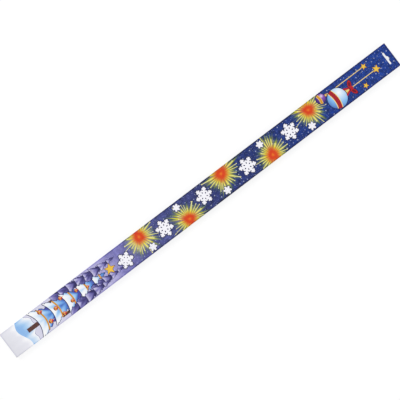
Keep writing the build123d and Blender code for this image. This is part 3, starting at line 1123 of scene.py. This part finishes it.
@dataclass
class Sparkler:
    """One sparkler: the CAD wire, and a lumpy dipped coat in place of the smooth one."""

    number: int
    tip_x: float = -360.0
    axis_z: float = 4.2
    pitch: float = 14.0
    wire_radius: float = 1.6
    tip_cover: float = 2.4
    # Distance from the dipped tip and radius, from the tip over the bead to the bare wire
    profile: tuple[Pair, ...] = (
        (0.0, 0.0),
        (0.22, 1.2),
        (0.9, 2.3),
        (2.0, 3.1),
        (3.4, 3.4),
        (7.0, 3.36),
        (11.0, 3.24),
        (16.0, 3.15),
        (501.0, 2.9),
        (505.5, 2.74),
        (508.3, 2.25),
        (510.0, 1.6),
    )
    ring_mm: float = 0.85  # spacing of the rings along the coat
    steps: int = 26  # points round the coat
    lump_mm: float = 0.16  # height of the grains
    lump_sizes: Pair = (1.5, 0.8)  # size of the large and of the small grains
    small_share: float = 0.6  # height of the small grains beside the large ones
    lump_sink: float = 0.3  # keeps the grains within the smooth coat
    sag_mm: float = 0.1  # height of the runs of slurry
    run_mm: Triple = (24.0, 5.0, 5.0)  # size of the runs
    bore_gap: float = 0.05  # what is this near to the wire isn't moved
    seed: Triple = (17.3, 5.1, 9.7)  # makes each coat's lumps its own
    weld_mm: float = 0.001  # points this close are joined

    def build(self) -> Object:
        """Turns the coat's profile about the wire and roughens it.

        Returns:
            The coat, riding on its sparkler.
        """
        shape = bmesh.new()
        bore = ((self.tip_cover, self.wire_radius), (self.tip_cover, 0.0))
        rim = [shape.verts.new((x * MM, 0, r * MM)) for x, r in (*self.profile, *bore)]
        edges = [shape.edges.new(pair) for pair in zip(rim, rim[1:])]
        skin = edges[: len(self.profile) - 1]
        for edge in skin:
            cuts = int(edge.calc_length() / (self.ring_mm * MM))
            if cuts:
                bmesh.ops.subdivide_edges(shape, edges=[edge], cuts=cuts)
        bmesh.ops.spin(
            shape,
            geom=[*shape.verts, *shape.edges],
            cent=(0, 0, 0),
            axis=(1, 0, 0),
            angle=tau,
            steps=self.steps,
            use_merge=True,
        )
        bmesh.ops.remove_doubles(shape, verts=shape.verts, dist=self.weld_mm * MM)
        bmesh.ops.recalc_face_normals(shape, faces=shape.faces)
        self._roughen(shape)
        shift = Vector((self.tip_x, (self.number - 2) * self.pitch, self.axis_z)) * MM
        bmesh.ops.translate(shape, verts=shape.verts, vec=shift)
        coat = link_mesh(f"dipped_coat_{self.number}", shape)
        coat.data.shade_smooth()
        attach(coat, f"sparkler_{self.number}")
        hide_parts(f"sparkler_composition_{self.number}")
        return coat

    def _roughen(self, shape: bmesh.types.BMesh) -> None:
        """Moves the coat's skin in and out by its grains and by slow runs of slurry.

        Args:
            shape: the coat on the X axis, with its tip at the origin.
        """
        bore = (self.wire_radius + self.bore_gap) * MM
        own = Vector(self.seed) * self.number
        large, small = self.lump_sizes
        for vert in shape.verts:
            spoke = Vector((0, vert.co.y, vert.co.z))
            if spoke.length < bore:
                continue
            place = vert.co / MM
            grain = noise.noise(place / large + own)
            grain += self.small_share * noise.noise(place / small - own)
            runs = noise.noise(Vector([at / size for at, size in zip(place, self.run_mm)]) + own)
            swell = self.lump_mm * (grain - self.lump_sink) + self.sag_mm * runs
            vert.co += spoke.normalized() * swell * MM

    def dress(self, coat: Object, steel: Material, crust: Material) -> None:
        """Gives the coat its crust and the wire its steel.

        Args:
            coat: the coat that build made.
            steel: the wire's material.
            crust: the coat's material.
        """
        coat.data.materials.append(crust)
        dress_node(f"sparkler_wire_{self.number}", steel)
        LOG.info("built %s", coat.name)


@dataclass
class Studio:
    """White table, soft lamps and the camera above the packet."""

    tilt_deg: float = 37.24  # the packet rises this much to the right in the picture
    lean_deg: float = 4.6  # the camera leans this much to the foot
    aim_mm: Triple = (-7.9, 0.5, PACK_DEPTH)
    frame_mm: float = 610.7  # width of the picture at the printed front
    lens_mm: float = 85.0
    sensor_mm: float = 36.0
    table_m: float = 6.0
    table_gap_mm: float = 0.3  # between the table and the packet's back
    sky_light: float = 0.5
    sky_white: float = 0.92  # what the camera sees of the sky, as pale as the far end of the table
    lamp_distance_m: float = 2.2
    lamp_size_m: float = 1.5
    lamp_lift_deg: float = 48.0
    # Name, bearing from the hang tab in degrees, and power in watts
    lamps: tuple[tuple[str, float, float], ...] = (
        ("key_lamp", 100.0, 24.65),
        ("fill_lamp", -60.0, 9.35),
    )

    def build(self) -> None:
        """Sets up the table, the light and the camera."""
        self._table()
        self._light()
        self._camera()
        bpy.context.scene.view_settings.view_transform = "Standard"

    def _table(self) -> None:
        """Lays the table just under the packet."""
        shape = bmesh.new()
        bmesh.ops.create_grid(shape, x_segments=1, y_segments=1, size=self.table_m)
        bmesh.ops.translate(shape, verts=shape.verts, vec=(0, 0, -self.table_gap_mm * MM))
        table = link_mesh("table", shape)
        table.data.materials.append(TableTop().material())
        table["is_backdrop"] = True

    def _light(self) -> None:
        """Hangs two soft lamps beside the packet under an even white sky."""
        world = bpy.data.worlds.new("studio")
        world.use_nodes = True
        world.node_tree.nodes.clear()
        net = ShaderNet(world.node_tree)
        level = net.add("MapRange", net.seen_directly(), 0.0, 1.0, self.sky_light, self.sky_white)
        net.add("OutputWorld", net.add("Background", "FFFFFF", level))
        bpy.context.scene.world = world
        for name, bearing, watts in self.lamps:
            lamp = bpy.data.lights.new(name, "AREA")
            lamp.size = self.lamp_size_m
            lamp.energy = watts
            hung = bpy.data.objects.new(name, lamp)
            around, lift = radians(bearing), radians(self.lamp_lift_deg)
            aim = Vector((cos(around) * cos(lift), sin(around) * cos(lift), sin(lift)))
            hung.location = aim * self.lamp_distance_m
            hung.rotation_euler = aim.to_track_quat("Z", "Y").to_euler()
            bpy.context.scene.collection.objects.link(hung)

    def _camera(self) -> None:
        """Hangs the camera above, turned so that the packet lies as photographed."""
        view = bpy.data.cameras.new("camera")
        view.lens, view.sensor_width = self.lens_mm, self.sensor_mm
        camera = bpy.data.objects.new("camera", view)
        lean = Matrix.Rotation(-radians(self.lean_deg), 4, "Y")
        turn = Matrix.Rotation(-radians(self.tilt_deg), 4, "Z")
        back = Matrix.Translation((0, 0, self.frame_mm * self.lens_mm / self.sensor_mm * MM))
        camera.matrix_world = Matrix.Translation(Vector(self.aim_mm) * MM) @ lean @ turn @ back
        bpy.context.scene.collection.objects.link(camera)
        bpy.context.scene.camera = camera


def main() -> None:
    """Dresses the packet, builds its sparklers' coats and sets up the studio."""
    logging.basicConfig(level=logging.INFO, format="%(message)s")
    board = PrintedBoard()
    print_group = WinterPrint().draw()
    Carton(board, print_group).dress()
    FootClosure(board, print_group).dress()
    steel, crust = DrawnSteel().material(), DippedComposition().material()
    for number in (1, 2, 3):
        sparkler = Sparkler(number)
        sparkler.dress(sparkler.build(), steel, crust)
    Studio().build()
    boxes = {"cad": CAD_BOX, "visual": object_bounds()}
    json.dumps({name: [list(c) for c in box] for name, box in boxes.items()})


if __name__ == "__main__":
    main()
